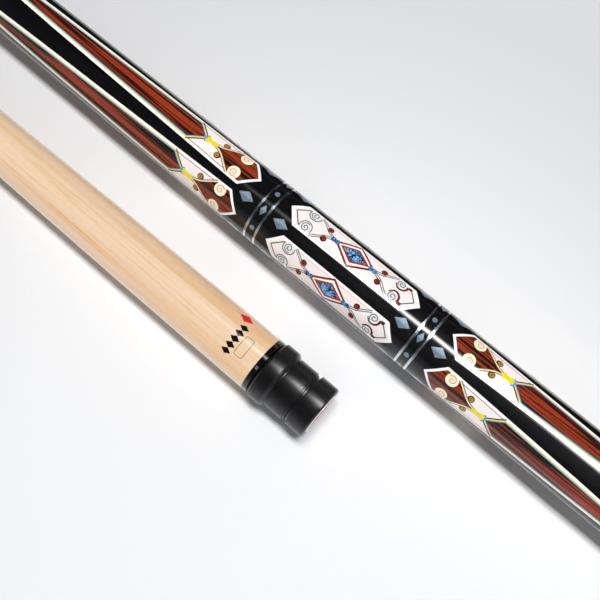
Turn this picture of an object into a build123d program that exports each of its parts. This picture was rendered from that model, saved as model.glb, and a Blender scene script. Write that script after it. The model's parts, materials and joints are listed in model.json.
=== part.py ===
"""Two-piece pool cue, taken apart: butt and shaft lie side by side with their joint protectors on.

Each stick is turned about its own axis. Stations along a stick are measured from its joint face:
towards the bumper on the butt, towards the tip on the shaft. The sticks lie on the plane Z = 0,
+Y runs towards the tip and the shaft lies on the -X side of the butt.
"""
import math
import os

from build123d import *

os.makedirs("parts", exist_ok=True)

# ---------------------------------------------------------------- driving dimensions (mm, degrees)
joint_dia = 21.3
butt_length = 737.0
butt_end_dia = 31.8
shaft_length = 737.0
tip_dia = 12.4
stick_gap = 42.95              # axis to axis
shaft_setback = 267.8          # shaft's joint face behind the butt's joint face

facet_count = 5
facet_angle = 20.0             # first panel, from straight up towards +X
facet_step = 360 / facet_count
between_angle = facet_angle - facet_step / 2

inlay_depth = 1.2
bed_clear = 1.0                # beds are cut this far above the surface
prism_start = 9.0              # flat inlay outlines start this far from the axis
prism_reach = 8.0

# Rings: each set is a pair of metal rings with an ebony band between them.
ring_stations = (231.0, 300.0, 600.0, 669.0)
ring_spacing = 4.3
ring_width = 0.9
ring_diamond = (1.2, 2.05)     # half length along the stick, half height around it
ring_dot_radius = 0.95
big_diamond = (3.2, 2.05)
big_diamond_offset = 5.6

# Long points: white-edged panels with a pointed head at a ring set and a long tapering tail.
point_head_offset = 5.3
point_shoulder = 5.8
point_knee = (0.54, 0.526)     # where the taper eases: share of the length, share of the half width
forearm_point_end = 26.0
handle_point_end = 476.0
forearm_half_width = 6.05
handle_half_width = 6.3
white_edge = 0.95
yellow_edge = 0.45
blue_edge = 0.35
cross_front = 20.9             # where the crossed lines meet in front of the knot
cross_rear = 25.2
knot_half_height = 0.95
knot_end_height = 0.57
knot_shoulders = (0.9, 0.7)    # in from its front and rear ends
kite_shoulder = 10.0
veneer_head = 6.4              # length of the slanted head of the veneers behind the knot
veneer_steps = (0.6, 0.5)      # each layer's head lies this far behind the one outside it
point_scroll = (9.4, 3.75, 2.3)    # along, around, radius

# Window panels: six-sided ivory panels with a turquoise diamond.
window_half_length = 28.1
window_shoulder = 23.4
window_half_height = 5.35
turquoise_diamond = (4.75, 2.45)
framed_diamond = (6.25, 3.1)
bead_radius = 0.75
bead_stations = (7.3, 8.85)
window_scroll = (19.0, 3.1, 1.9)

# Joint, protectors, screws.
collar_length = 14.0
shaft_collar_length = 2.05
dash_size = (1.1, 0.3)         # along the stick, around it
dash_station = 1.0
dash_spacing = 0.65
dash_depth = 0.8
pin_dia = 9.5
pin_reach = 30.0               # stands out of the butt's joint face
pin_root = 28.0
pin_point = (1.6, 1.4)         # chamfer of a screw's leading end: along, inwards
thread_clearance = 0.06
insert_dia = 13.0
insert_length = 34.0
insert_floor = 2.0
stud_reach = 18.0
stud_root = 14.0
section_screw_dia = 8.0
section_screw_length = 34.0
section_screw_chamfer = 0.8

# Joint protectors. Lengths are measured out from the joint face, or back from the end.
protector_gap = 0.1            # clear of the joint face
protector_face_dia = 19.8
protector_nose = (0.45, 21.0)  # end of the rounded nose: out from the face, diameter
protector_flange = (1.2, 6.05) # near and far side, out from the face
protector_flange_dia = 22.5
protector_waist_start = 7.65
protector_waist_dia = 20.2
protector_step = (9.1, 9.0, 8.4)   # a shallow step before the groove, back from the end
protector_step_depth = 0.4
protector_groove = (8.2, 7.3, 7.2) # sides of the groove and start of the head, back from the end
protector_groove_dia = 18.3
protector_head_dia = 20.6
protector_edge = 0.6
shaft_protector_length = 24.5
butt_protector_length = 46.5
insert_seat = 4.0              # the insert in the butt's protector runs this far past the pin
end_recess = 1.5
end_recess_dia = 16.2
end_clearance = 0.15           # under the ring and the disc
end_ring_dia = 15.9
end_ring_proud = 0.25
end_disc_dia = 13.6
end_disc_proud = 0.55

# Butt end.
cap_round = 1.0
weight_bolt_dia = 12.7
weight_bolt_span = (692.0, 725.0)
weight_bolt_chamfer = 1.0
weight_bolt_socket = (3.0, 6.0)    # radius, depth
bumper_recess = 10.0
bumper_stem_dia = 16.9
bumper_head_dia = 27.0
bumper_head = 8.0
bumper_round = 3.0
bumper_clearance = 0.05        # around the stem
bumper_end_gap = 0.2           # beyond the stem

# Shaft taper: station and radius, down to the tip's radius at the last station.
shaft_taper = ((60.0, 10.38), (115.0, 9.75), (220.0, 8.4), (330.0, 7.1), (450.0, 6.3))
shaft_taper_end = 560.0

# Tip end.
tip_height = 6.5
tip_dome = 1.9
pad_height = 1.0
ferrule_height = 15.0
tenon_dia = 8.0
tenon_length = 12.0


# ---------------------------------------------------------------- where the two sticks lie
def butt_radius(station):
    """Radius of the butt's straight taper at a station."""
    return joint_dia / 2 + (butt_end_dia - joint_dia) / 2 * station / butt_length


rear_contact = butt_length - cap_round
tip_contact = shaft_length - tip_dome
butt_tilt = math.atan(
    (butt_radius(rear_contact) - protector_flange_dia / 2) / (rear_contact + protector_flange[1])
)
shaft_tilt = math.atan((protector_flange_dia - tip_dia) / 2 / (tip_contact + protector_flange[0]))

butt_direction = Vector(0, -math.cos(butt_tilt), math.sin(butt_tilt))
butt_up = Vector(0, math.sin(butt_tilt), math.cos(butt_tilt))
shaft_direction = Vector(0, math.cos(shaft_tilt), -math.sin(shaft_tilt))
shaft_up = Vector(0, math.sin(shaft_tilt), math.cos(shaft_tilt))

bumper_end = butt_length + bumper_head
butt_x = (stick_gap + protector_flange_dia / 2 - butt_radius(rear_contact)) / 2
butt_y = (bumper_end + shaft_setback - shaft_length) / 2
butt_z = butt_radius(rear_contact) * math.cos(butt_tilt) - rear_contact * math.sin(butt_tilt)
shaft_z = tip_dia / 2 * math.cos(shaft_tilt) + tip_contact * math.sin(shaft_tilt)
butt_joint = Vector(butt_x, butt_y, butt_z)
shaft_joint = Vector(butt_x - stick_gap, butt_y - shaft_setback, shaft_z)

butt_axis = Axis(butt_joint, butt_direction)
shaft_axis = Axis(shaft_joint, shaft_direction)
# Profile planes: local x runs along the stick, local y is the radius.
butt_profile = Plane(origin=butt_joint, x_dir=butt_direction, z_dir=butt_direction.cross(butt_up))
shaft_profile = Plane(
    origin=shaft_joint, x_dir=shaft_direction, z_dir=shaft_direction.cross(shaft_up)
)


def facet_plane(station, angle, towards_tip=False):
    """Plane facing out of the butt at an angle about its axis, with local x along the stick."""
    turn = math.radians(angle)
    outward = butt_up * math.cos(turn) + Vector(1, 0, 0) * math.sin(turn)
    along = butt_direction * (-1 if towards_tip else 1)
    origin = butt_joint + butt_direction * station + outward * prism_start
    return Plane(origin=origin, x_dir=along, z_dir=outward)


def facet_angles(first):
    """The angles of one row of inlays."""
    return [first + facet_step * index for index in range(facet_count)]


def push_out(outline, station, first, towards_tip=False):
    """Inside a part block: extrude a flat outline outwards at each facet of a row."""
    for angle in facet_angles(first):
        extrude(facet_plane(station, angle, towards_tip) * outline, amount=prism_reach)


def band(start, end, inner):
    """Corners of a turned band of the butt between two stations, over an inner radius."""
    return (start, inner), (start, butt_radius(start)), (end, butt_radius(end)), (end, inner)


def strip(start, end, outer):
    """Corners of a turned bar or bore between two stations, out to an outer radius."""
    return (start, 0), (start, outer), (end, outer), (end, 0)


def diamond(half_length, half_height):
    """Corners of a flat diamond about its centre."""
    return (-half_length, 0), (0, half_height), (half_length, 0), (0, -half_height)


def skin_corners(height):
    """Corners of the butt's skin, from the inlay depth up to a height over the surface."""
    front, rear = butt_radius(collar_length), butt_radius(butt_length)
    return [
        (collar_length, front - inlay_depth),
        (collar_length, front + height),
        (butt_length, rear + height),
        (butt_length, rear - inlay_depth),
    ]


# Inlays fill the skin; their beds are cut by the same outlines through a taller skin.
with BuildPart() as skin:
    with BuildSketch(butt_profile):
        Polygon(*skin_corners(0), align=None)
    revolve(axis=butt_axis)

with BuildPart() as bed_skin:
    with BuildSketch(butt_profile):
        Polygon(*skin_corners(bed_clear), align=None)
    revolve(axis=butt_axis)


# ---------------------------------------------------------------- outlines of the long points
class PointOutlines:
    """Flat outlines of one long point, from its head at the origin along +X."""

    def __init__(self, length, half_width):
        knee, knee_half = length * point_knee[0], half_width * point_knee[1]
        outer = [(0, 0), (point_shoulder, half_width), (knee, knee_half), (length, 0)]
        outer += [(knee, -knee_half), (point_shoulder, -half_width)]
        scroll_at = [(point_scroll[0], side * point_scroll[1]) for side in (1, -1)]
        wide = half_width + white_edge

        with BuildSketch() as outline:
            Polygon(*outer, align=None)
        with BuildSketch() as inside:
            add(outline.sketch)
            offset(amount=-white_edge, mode=Mode.REPLACE)
        with BuildSketch() as rim:
            add(outline.sketch)
            offset(amount=-white_edge / 3, mode=Mode.REPLACE)
        with BuildSketch() as scrolls:
            with Locations(*scroll_at):
                Circle(point_scroll[2])
            add(rim.sketch, mode=Mode.INTERSECT)
        with BuildSketch() as edge:
            add(outline.sketch)
            add(inside.sketch, mode=Mode.SUBTRACT)
            add(scrolls.sketch, mode=Mode.SUBTRACT)
        with BuildSketch() as knot:
            front, rear = cross_front + knot_shoulders[0], cross_rear - knot_shoulders[1]
            Polygon(
                (cross_front, knot_end_height),
                (front, knot_half_height),
                (rear, knot_half_height),
                (cross_rear, knot_end_height),
                (cross_rear, -knot_end_height),
                (rear, -knot_half_height),
                (front, -knot_half_height),
                (cross_front, -knot_end_height),
                align=None,
            )
        with BuildSketch() as kite:
            Polygon(
                (-white_edge, wide),
                (kite_shoulder, wide),
                (cross_front, 0),
                (kite_shoulder, -wide),
                (-white_edge, -wide),
                align=None,
            )
            add(inside.sketch, mode=Mode.INTERSECT)
            add(scrolls.sketch, mode=Mode.SUBTRACT)
            add(knot.sketch, mode=Mode.SUBTRACT)

        nested = []
        inset, head = white_edge, cross_rear
        for next_edge, next_step in zip((yellow_edge, blue_edge, 0), (*veneer_steps, 0)):
            shoulder = head + veneer_head
            with BuildSketch() as layer:
                add(outline.sketch)
                offset(amount=-inset, mode=Mode.REPLACE)
                Polygon(
                    (head, 0),
                    (shoulder, wide),
                    (length, wide),
                    (length, -wide),
                    (shoulder, -wide),
                    align=None,
                    mode=Mode.INTERSECT,
                )
                add(knot.sketch, mode=Mode.SUBTRACT)
            nested.append(layer.sketch)
            inset += next_edge
            head += next_step

        with BuildSketch() as yellow:
            add(nested[0])
            add(nested[1], mode=Mode.SUBTRACT)
        with BuildSketch() as blue:
            add(nested[1])
            add(nested[2], mode=Mode.SUBTRACT)
        with BuildSketch() as fields:
            add(inside.sketch)
            add(kite.sketch, mode=Mode.SUBTRACT)
            add(nested[0], mode=Mode.SUBTRACT)
            add(scrolls.sketch, mode=Mode.SUBTRACT)
            add(knot.sketch, mode=Mode.SUBTRACT)

        self.outline = outline.sketch
        self.edge = edge.sketch
        self.scrolls = scrolls.sketch
        self.knot = knot.sketch
        self.kite = kite.sketch
        self.yellow = yellow.sketch
        self.blue = blue.sketch
        self.wood = nested[2]
        self.fields = fields.sketch


forearm_head = ring_stations[0] - point_head_offset
handle_head = ring_stations[1] + ring_spacing + point_head_offset
forearm_point = PointOutlines(forearm_head - forearm_point_end, forearm_half_width)
handle_point = PointOutlines(handle_point_end - handle_head, handle_half_width)


# ---------------------------------------------------------------- outlines of the window panels
with BuildSketch() as window_outline:
    Polygon(
        (-window_half_length, 0),
        (-window_shoulder, window_half_height),
        (window_shoulder, window_half_height),
        (window_half_length, 0),
        (window_shoulder, -window_half_height),
        (-window_shoulder, -window_half_height),
        align=None,
    )
with BuildSketch() as turquoise_outline:
    Polygon(*diamond(*turquoise_diamond), align=None)
with BuildSketch() as frame_outline:
    Polygon(*diamond(*framed_diamond), align=None)
    add(turquoise_outline.sketch, mode=Mode.SUBTRACT)
with BuildSketch() as bead_outline:
    with Locations(*[(side * along, 0) for side in (1, -1) for along in bead_stations]):
        Circle(bead_radius)
with BuildSketch() as window_scroll_outline:
    along, around, radius = window_scroll
    with Locations((along, around), (along, -around), (-along, around), (-along, -around)):
        Circle(radius)
with BuildSketch() as window_field:
    add(window_outline.sketch)
    add(turquoise_outline.sketch, mode=Mode.SUBTRACT)
    add(frame_outline.sketch, mode=Mode.SUBTRACT)
    add(bead_outline.sketch, mode=Mode.SUBTRACT)
    add(window_scroll_outline.sketch, mode=Mode.SUBTRACT)
with BuildSketch() as big_diamond_outline:
    Polygon(*diamond(*big_diamond), align=None)
with BuildSketch() as ring_diamond_outline:
    Polygon(*diamond(*ring_diamond), align=None)
with BuildSketch() as ring_dot_outline:
    Circle(ring_dot_radius)

window_centres = [
    (front + ring_spacing + rear) / 2 for front, rear in (ring_stations[0:2], ring_stations[2:4])
]
ring_centres = [station + ring_spacing / 2 for station in ring_stations]
diamonds_before = [station - big_diamond_offset for station in ring_stations]
diamonds_behind = [station + ring_spacing + big_diamond_offset for station in ring_stations[:3]]


# ---------------------------------------------------------------- inlays of the butt
pieces = {}

for stem, outlines, head, towards_tip in (
    ("forearm", forearm_point, forearm_head, True),
    ("handle", handle_point, handle_head, False),
):
    for name, outline in (
        ("points", outlines.wood),
        ("white_edges", outlines.edge),
        ("yellow_veneers", outlines.yellow),
        ("blue_veneers", outlines.blue),
    ):
        with BuildPart() as inlay:
            push_out(outline, head, facet_angle, towards_tip)
            add(skin.part, mode=Mode.INTERSECT)
        pieces[f"{stem}_{name}"] = inlay

# Small pieces of one shape share a node, whichever end of the butt they lie in.
for name, outline_name in (
    ("ivory_fields", "fields"),
    ("rosewood_kites", "kite"),
    ("yellow_knots", "knot"),
    ("cream_scrolls", "scrolls"),
):
    with BuildPart() as inlay:
        push_out(getattr(forearm_point, outline_name), forearm_head, facet_angle, True)
        push_out(getattr(handle_point, outline_name), handle_head, facet_angle)
        add(skin.part, mode=Mode.INTERSECT)
    pieces[name] = inlay

for name, outline in (
    ("window_panels", window_field),
    ("window_diamond_frames", frame_outline),
    ("turquoise_diamonds", turquoise_outline),
    ("turquoise_beads", bead_outline),
    ("window_scrolls", window_scroll_outline),
):
    with BuildPart() as inlay:
        for centre in window_centres:
            push_out(outline.sketch, centre, facet_angle)
        add(skin.part, mode=Mode.INTERSECT)
    pieces[name] = inlay

for name, outline, stations, angle in (
    ("silver_diamonds", big_diamond_outline, diamonds_before + diamonds_behind, between_angle),
    ("ring_diamonds", ring_diamond_outline, ring_centres, between_angle),
    ("ring_dots", ring_dot_outline, ring_centres, facet_angle),
):
    with BuildPart() as inlay:
        for station in stations:
            push_out(outline.sketch, station, angle)
        add(skin.part, mode=Mode.INTERSECT)
    pieces[name] = inlay


# ---------------------------------------------------------------- turned sections of the butt
ring_front = [station - ring_width / 2 for station in ring_stations]
ring_rear = [station + ring_spacing + ring_width / 2 for station in ring_stations]
screw_radius = section_screw_dia / 2
pin_radius = pin_dia / 2

# The beds of all the inlays in a section, cut from its turned blank.
with BuildPart() as forearm_beds:
    push_out(forearm_point.outline, forearm_head, facet_angle, True)
    push_out(big_diamond_outline.sketch, diamonds_before[0], between_angle)
    add(bed_skin.part, mode=Mode.INTERSECT)

with BuildPart() as handle_beds:
    push_out(handle_point.outline, handle_head, facet_angle)
    for station in (diamonds_behind[1], diamonds_before[2]):
        push_out(big_diamond_outline.sketch, station, between_angle)
    add(bed_skin.part, mode=Mode.INTERSECT)

# A pair of thin silver dashes stands in each collar, in line with the rows of diamonds.
for stem, origin, direction, up, axis, plane, length in (
    ("joint", butt_joint, butt_direction, butt_up, butt_axis, butt_profile, collar_length),
    ("shaft", shaft_joint, shaft_direction, shaft_up, shaft_axis, shaft_profile, shaft_collar_length),
):
    with BuildPart() as dash_prisms:
        for angle in facet_angles(between_angle):
            turn = math.radians(angle)
            outward = up * math.cos(turn) + Vector(1, 0, 0) * math.sin(turn)
            centre = origin + direction * dash_station + outward * prism_start
            with BuildSketch(Plane(origin=centre, x_dir=direction, z_dir=outward)):
                with Locations((0, dash_spacing / 2), (0, -dash_spacing / 2)):
                    Rectangle(*dash_size)
            extrude(amount=prism_reach)
    with BuildPart() as dashes:
        with BuildSketch(plane):
            Polygon(
                (0, joint_dia / 2 - dash_depth),
                (0, joint_dia / 2),
                (length, joint_dia / 2),
                (length, joint_dia / 2 - dash_depth),
                align=None,
            )
        revolve(axis=axis)
        add(dash_prisms.part, mode=Mode.INTERSECT)
    pieces[f"{stem}_collar_dashes"] = dashes

with BuildPart() as joint_collar:
    with BuildSketch(butt_profile):
        Polygon(*band(0, collar_length, pin_radius), align=None)
    revolve(axis=butt_axis)
    add(pieces["joint_collar_dashes"].part, mode=Mode.SUBTRACT)
pieces["joint_collar"] = joint_collar

with BuildPart() as forearm:
    with BuildSketch(butt_profile):
        Polygon(*band(collar_length, ring_front[0], 0), align=None)
    revolve(axis=butt_axis)
    with BuildSketch(butt_profile):
        Polygon(*strip(collar_length, pin_root, pin_radius), align=None)
        Polygon(
            *strip(ring_centres[0] - section_screw_length / 2, ring_front[0], screw_radius),
            align=None,
        )
    revolve(axis=butt_axis, mode=Mode.SUBTRACT)
    add(forearm_beds.part, mode=Mode.SUBTRACT)
pieces["forearm"] = forearm

with BuildPart() as handle:
    with BuildSketch(butt_profile):
        Polygon(*band(ring_rear[1], ring_front[2], 0), align=None)
    revolve(axis=butt_axis)
    with BuildSketch(butt_profile):
        for near, far in (
            (ring_rear[1], ring_centres[1] + section_screw_length / 2),
            (ring_centres[2] - section_screw_length / 2, ring_front[2]),
        ):
            Polygon(*strip(near, far, screw_radius), align=None)
    revolve(axis=butt_axis, mode=Mode.SUBTRACT)
    add(handle_beds.part, mode=Mode.SUBTRACT)
pieces["handle"] = handle

for name, first, centre in (
    ("window_section", 0, window_centres[0]),
    ("butt_sleeve", 2, window_centres[1]),
):
    with BuildPart() as section_beds:
        push_out(window_outline.sketch, centre, facet_angle)
        push_out(big_diamond_outline.sketch, diamonds_behind[first], between_angle)
        push_out(big_diamond_outline.sketch, diamonds_before[first + 1], between_angle)
        add(bed_skin.part, mode=Mode.INTERSECT)
    with BuildPart() as section:
        with BuildSketch(butt_profile):
            Polygon(*band(ring_rear[first], ring_front[first + 1], screw_radius), align=None)
        revolve(axis=butt_axis)
        add(section_beds.part, mode=Mode.SUBTRACT)
    pieces[name] = section

for index, which in enumerate(("front", "second", "third", "rear")):
    with BuildPart() as band_beds:
        push_out(ring_diamond_outline.sketch, ring_centres[index], between_angle)
        push_out(ring_dot_outline.sketch, ring_centres[index], facet_angle)
        add(bed_skin.part, mode=Mode.INTERSECT)
    with BuildPart() as ring_band:
        with BuildSketch(butt_profile):
            Polygon(
                *band(ring_front[index] + ring_width, ring_rear[index] - ring_width, screw_radius),
                align=None,
            )
        revolve(axis=butt_axis)
        add(band_beds.part, mode=Mode.SUBTRACT)
    pieces[f"{which}_ring_band"] = ring_band

with BuildPart() as silver_rings:
    with BuildSketch(butt_profile):
        for front, rear in zip(ring_front, ring_rear):
            Polygon(*band(front, front + ring_width, screw_radius), align=None)
            Polygon(*band(rear - ring_width, rear, screw_radius), align=None)
    revolve(axis=butt_axis)
pieces["silver_rings"] = silver_rings

with BuildPart() as section_screws:
    with BuildSketch(butt_profile):
        for centre in ring_centres:
            near, far = centre - section_screw_length / 2, centre + section_screw_length / 2
            end_radius = screw_radius - section_screw_chamfer
            Polygon(
                (near, 0),
                (near, end_radius),
                (near + section_screw_chamfer, screw_radius),
                (far - section_screw_chamfer, screw_radius),
                (far, end_radius),
                (far, 0),
                align=None,
            )
    revolve(axis=butt_axis)
pieces["section_screws"] = section_screws

with BuildPart() as joint_pin:
    with BuildSketch(butt_profile):
        Polygon(
            (-pin_reach, 0),
            (-pin_reach, pin_radius - pin_point[1]),
            (-pin_reach + pin_point[0], pin_radius),
            (pin_root, pin_radius),
            (pin_root, 0),
            align=None,
        )
    revolve(axis=butt_axis)
pieces["joint_pin"] = joint_pin

cap_start = ring_rear[3]
bolt_radius = weight_bolt_dia / 2
with BuildPart() as butt_cap:
    with BuildSketch(butt_profile):
        screw_end = ring_centres[3] + section_screw_length / 2
        recess = butt_length - bumper_recess
        stem = bumper_stem_dia / 2 + bumper_clearance
        end_radius = butt_radius(rear_contact)
        Polygon(
            (cap_start, screw_radius),
            (cap_start, butt_radius(cap_start)),
            (rear_contact, end_radius),
            (butt_length, end_radius - cap_round),
            (butt_length, stem),
            (recess, stem),
            (recess, bolt_radius),
            (weight_bolt_span[0], bolt_radius),
            (weight_bolt_span[0], 0),
            (screw_end, 0),
            (screw_end, screw_radius),
            align=None,
        )
    revolve(axis=butt_axis)
pieces["butt_cap"] = butt_cap

with BuildPart() as weight_bolt:
    with BuildSketch(butt_profile):
        near, far = weight_bolt_span
        socket, socket_floor = weight_bolt_socket[0], far - weight_bolt_socket[1]
        end_radius = bolt_radius - weight_bolt_chamfer
        Polygon(
            (near, 0),
            (near, end_radius),
            (near + weight_bolt_chamfer, bolt_radius),
            (far - weight_bolt_chamfer, bolt_radius),
            (far, end_radius),
            (far, socket),
            (socket_floor, socket),
            (socket_floor, 0),
            align=None,
        )
    revolve(axis=butt_axis)
pieces["weight_bolt"] = weight_bolt

with BuildPart() as bumper:
    with BuildSketch(butt_profile):
        stem = bumper_stem_dia / 2
        head = bumper_head_dia / 2
        near = butt_length - bumper_recess + bumper_end_gap
        round_start, round_end = (bumper_end - bumper_round, head), (bumper_end, head - bumper_round)
        with BuildLine():
            Polyline(
                (bumper_end, 0),
                (near, 0),
                (near, stem),
                (butt_length, stem),
                (butt_length, head),
                round_start,
            )
            RadiusArc(round_start, round_end, bumper_round)
            Line(round_end, (bumper_end, 0))
        make_face()
    revolve(axis=butt_axis)
pieces["bumper"] = bumper


# ---------------------------------------------------------------- joint protectors
insert_radius = insert_dia / 2
socket_radius = pin_radius + thread_clearance
insert_end = pin_reach + insert_seat


def protector_outline(length, bore, bore_depth):
    """Half section of a protector: distance out from the joint face, radius."""
    near, far = protector_flange
    flange, waist, head = protector_flange_dia / 2, protector_waist_dia / 2, protector_head_dia / 2
    step, groove = waist - protector_step_depth, protector_groove_dia / 2
    step_start, step_bottom, step_end = (length - back for back in protector_step)
    groove_near, groove_far, head_start = (length - back for back in protector_groove)
    return [
        (protector_gap, bore),
        (protector_gap, protector_face_dia / 2),
        (protector_nose[0], protector_nose[1] / 2),
        (near, flange),
        (far, flange),
        (protector_waist_start, waist),
        (step_start, waist),
        (step_bottom, step),
        (step_end, step),
        (groove_near, groove),
        (groove_far, groove),
        (head_start, head),
        (length - protector_edge, head),
        (length, head - protector_edge),
        (length, end_recess_dia / 2),
        (length - end_recess, end_recess_dia / 2),
        (length - end_recess, 0),
        (bore_depth, 0),
        (bore_depth, bore),
    ]


def outward(outline):
    """Mirror a protector's outline to stations, which grow the other way."""
    return [(-out, radius) for out, radius in outline]


for stem, plane, axis, length, bore, bore_depth in (
    ("shaft", shaft_profile, shaft_axis, shaft_protector_length, pin_radius, stud_root),
    ("butt", butt_profile, butt_axis, butt_protector_length, insert_radius, insert_end),
):
    with BuildPart() as protector:
        with BuildSketch(plane):
            Polygon(*outward(protector_outline(length, bore, bore_depth)), align=None)
        revolve(axis=axis)
    pieces[f"{stem}_protector"] = protector

    # The ring and the disc lie in the end's recess, clear of the turning protector.
    floor = length - end_recess + end_clearance
    ring_face, disc_face = length + end_ring_proud, length + end_disc_proud
    with BuildPart() as end_ring:
        with BuildSketch(plane):
            Polygon(
                (-floor, end_disc_dia / 2),
                (-floor, end_ring_dia / 2),
                (-ring_face, end_ring_dia / 2),
                (-ring_face, end_disc_dia / 2),
                align=None,
            )
        revolve(axis=axis)
    pieces[f"{stem}_protector_ring"] = end_ring

    with BuildPart() as end_disc:
        with BuildSketch(plane):
            Polygon(*strip(-floor, -disc_face, end_disc_dia / 2), align=None)
        revolve(axis=axis)
    pieces[f"{stem}_protector_disc"] = end_disc

with BuildPart() as shaft_protector_stud:
    with BuildSketch(shaft_profile):
        Polygon(
            (-stud_root, 0),
            (-stud_root, pin_radius),
            (stud_reach - pin_point[0], pin_radius),
            (stud_reach, pin_radius - pin_point[1]),
            (stud_reach, 0),
            align=None,
        )
    revolve(axis=shaft_axis)
pieces["shaft_protector_stud"] = shaft_protector_stud

with BuildPart() as butt_protector_insert:
    with BuildSketch(butt_profile):
        floor = insert_end - insert_floor
        Polygon(
            (-protector_gap, socket_radius),
            (-protector_gap, insert_radius),
            (-insert_end, insert_radius),
            (-insert_end, 0),
            (-floor, 0),
            (-floor, socket_radius),
            align=None,
        )
    revolve(axis=butt_axis)
pieces["butt_protector_insert"] = butt_protector_insert


# ---------------------------------------------------------------- shaft
tip_radius = tip_dia / 2
ferrule_start = shaft_length - tip_height - pad_height - ferrule_height

with BuildPart() as shaft_insert:
    with BuildSketch(shaft_profile):
        floor = insert_length - insert_floor
        Polygon(
            (0, socket_radius),
            (0, insert_radius),
            (insert_length, insert_radius),
            (insert_length, 0),
            (floor, 0),
            (floor, socket_radius),
            align=None,
        )
    revolve(axis=shaft_axis)
pieces["shaft_insert"] = shaft_insert

with BuildPart() as shaft_collar:
    with BuildSketch(shaft_profile):
        Polygon(
            (0, insert_radius),
            (0, joint_dia / 2),
            (shaft_collar_length, joint_dia / 2),
            (shaft_collar_length, insert_radius),
            align=None,
        )
    revolve(axis=shaft_axis)
    add(pieces["shaft_collar_dashes"].part, mode=Mode.SUBTRACT)
pieces["shaft_collar"] = shaft_collar

tenon_radius = tenon_dia / 2
tenon_end = ferrule_start + tenon_length
with BuildPart() as shaft_wood:
    with BuildSketch(shaft_profile):
        with BuildLine():
            Polyline((shaft_collar_length, insert_radius), (shaft_collar_length, joint_dia / 2))
            Spline(
                (shaft_collar_length, joint_dia / 2),
                *shaft_taper,
                (shaft_taper_end, tip_radius),
                tangents=((1, 0), (1, 0)),
            )
            Polyline(
                (shaft_taper_end, tip_radius),
                (ferrule_start, tip_radius),
                (ferrule_start, tenon_radius),
                (tenon_end, tenon_radius),
                (tenon_end, 0),
                (insert_length, 0),
                (insert_length, insert_radius),
                (shaft_collar_length, insert_radius),
            )
        make_face()
    revolve(axis=shaft_axis)
pieces["shaft_wood"] = shaft_wood

with BuildPart() as ferrule:
    with BuildSketch(shaft_profile):
        ferrule_end = ferrule_start + ferrule_height
        Polygon(
            (ferrule_start, tenon_radius),
            (ferrule_start, tip_radius),
            (ferrule_end, tip_radius),
            (ferrule_end, 0),
            (tenon_end, 0),
            (tenon_end, tenon_radius),
            align=None,
        )
    revolve(axis=shaft_axis)
pieces["ferrule"] = ferrule

pad_end = ferrule_end + pad_height
with BuildPart() as tip_pad:
    with BuildSketch(shaft_profile):
        Polygon(*strip(ferrule_end, pad_end, tip_radius), align=None)
    revolve(axis=shaft_axis)
pieces["tip_pad"] = tip_pad

dome_radius = (tip_radius**2 + tip_dome**2) / (2 * tip_dome)
dome_centre = shaft_length - dome_radius
with BuildPart() as cue_tip:
    with BuildSketch(shaft_profile):
        with BuildLine():
            Polyline((shaft_length, 0), (pad_end, 0), (pad_end, tip_radius), (tip_contact, tip_radius))
            ThreePointArc(
                (tip_contact, tip_radius),
                (dome_centre + math.sqrt(dome_radius**2 - tip_radius**2 / 4), tip_radius / 2),
                (shaft_length, 0),
            )
        make_face()
    revolve(axis=shaft_axis)
pieces["cue_tip"] = cue_tip


# ---------------------------------------------------------------- write one file per node
for name, piece in pieces.items():
    piece.part.label = name
    export_step(piece.part, f"parts/{name}.step")

print("butt joint centre", butt_joint, "tilt", math.degrees(butt_tilt))
print("shaft joint centre", shaft_joint, "tilt", math.degrees(shaft_tilt))
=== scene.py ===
"""Looks of a two-piece pool cue lying taken apart: the inlaid butt and the maple shaft, side by side.

Sizes are in millimetres along each stick (stations, from its joint face) and around it (arc lengths
or degrees from straight up towards +X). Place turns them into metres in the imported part's frame.
"""
import json
import math

import bmesh
import bpy
import numpy as np
from mathutils import Matrix, Vector


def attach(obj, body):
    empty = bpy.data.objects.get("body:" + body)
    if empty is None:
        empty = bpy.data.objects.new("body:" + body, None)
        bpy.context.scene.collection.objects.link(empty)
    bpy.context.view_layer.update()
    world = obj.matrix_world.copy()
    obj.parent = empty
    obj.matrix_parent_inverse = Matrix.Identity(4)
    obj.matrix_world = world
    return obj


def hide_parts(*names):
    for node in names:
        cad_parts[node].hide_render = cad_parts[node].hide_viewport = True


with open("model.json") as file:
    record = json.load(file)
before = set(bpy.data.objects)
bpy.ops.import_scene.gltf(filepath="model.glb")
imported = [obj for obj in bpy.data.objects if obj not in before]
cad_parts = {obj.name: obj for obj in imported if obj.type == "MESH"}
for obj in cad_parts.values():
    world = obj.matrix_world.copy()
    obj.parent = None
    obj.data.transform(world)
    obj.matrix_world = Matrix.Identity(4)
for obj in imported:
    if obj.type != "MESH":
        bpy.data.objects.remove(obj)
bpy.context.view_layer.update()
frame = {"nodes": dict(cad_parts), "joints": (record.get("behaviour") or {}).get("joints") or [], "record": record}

MM = 0.001
SLOT_OF = {row["node"]: row["material_slot"] for row in frame["record"]["subparts"]}
BODIES = frame["record"]["behaviour"]["bodies"]
BODY_OF = {node: body for body, nodes in BODIES.items() for node in nodes}

# ---- sizes of the sticks
JOINT_RADIUS = 10.65
BUTT_GROWTH = 5.25 / 737.0       # radius gained per mm of station
STICK_LENGTH = 737.0
TIP_RADIUS = 6.2
SHAFT_TAPER = [(2.05, 10.65), (60, 10.38), (115, 9.75), (220, 8.4), (330, 7.1), (450, 6.3), (560, 6.2)]

FACETS = 5
FACET_STEP = 360 / FACETS
PANEL_ANGLE = 20.0
DIAMOND_ANGLE = PANEL_ANGLE - FACET_STEP / 2

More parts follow.
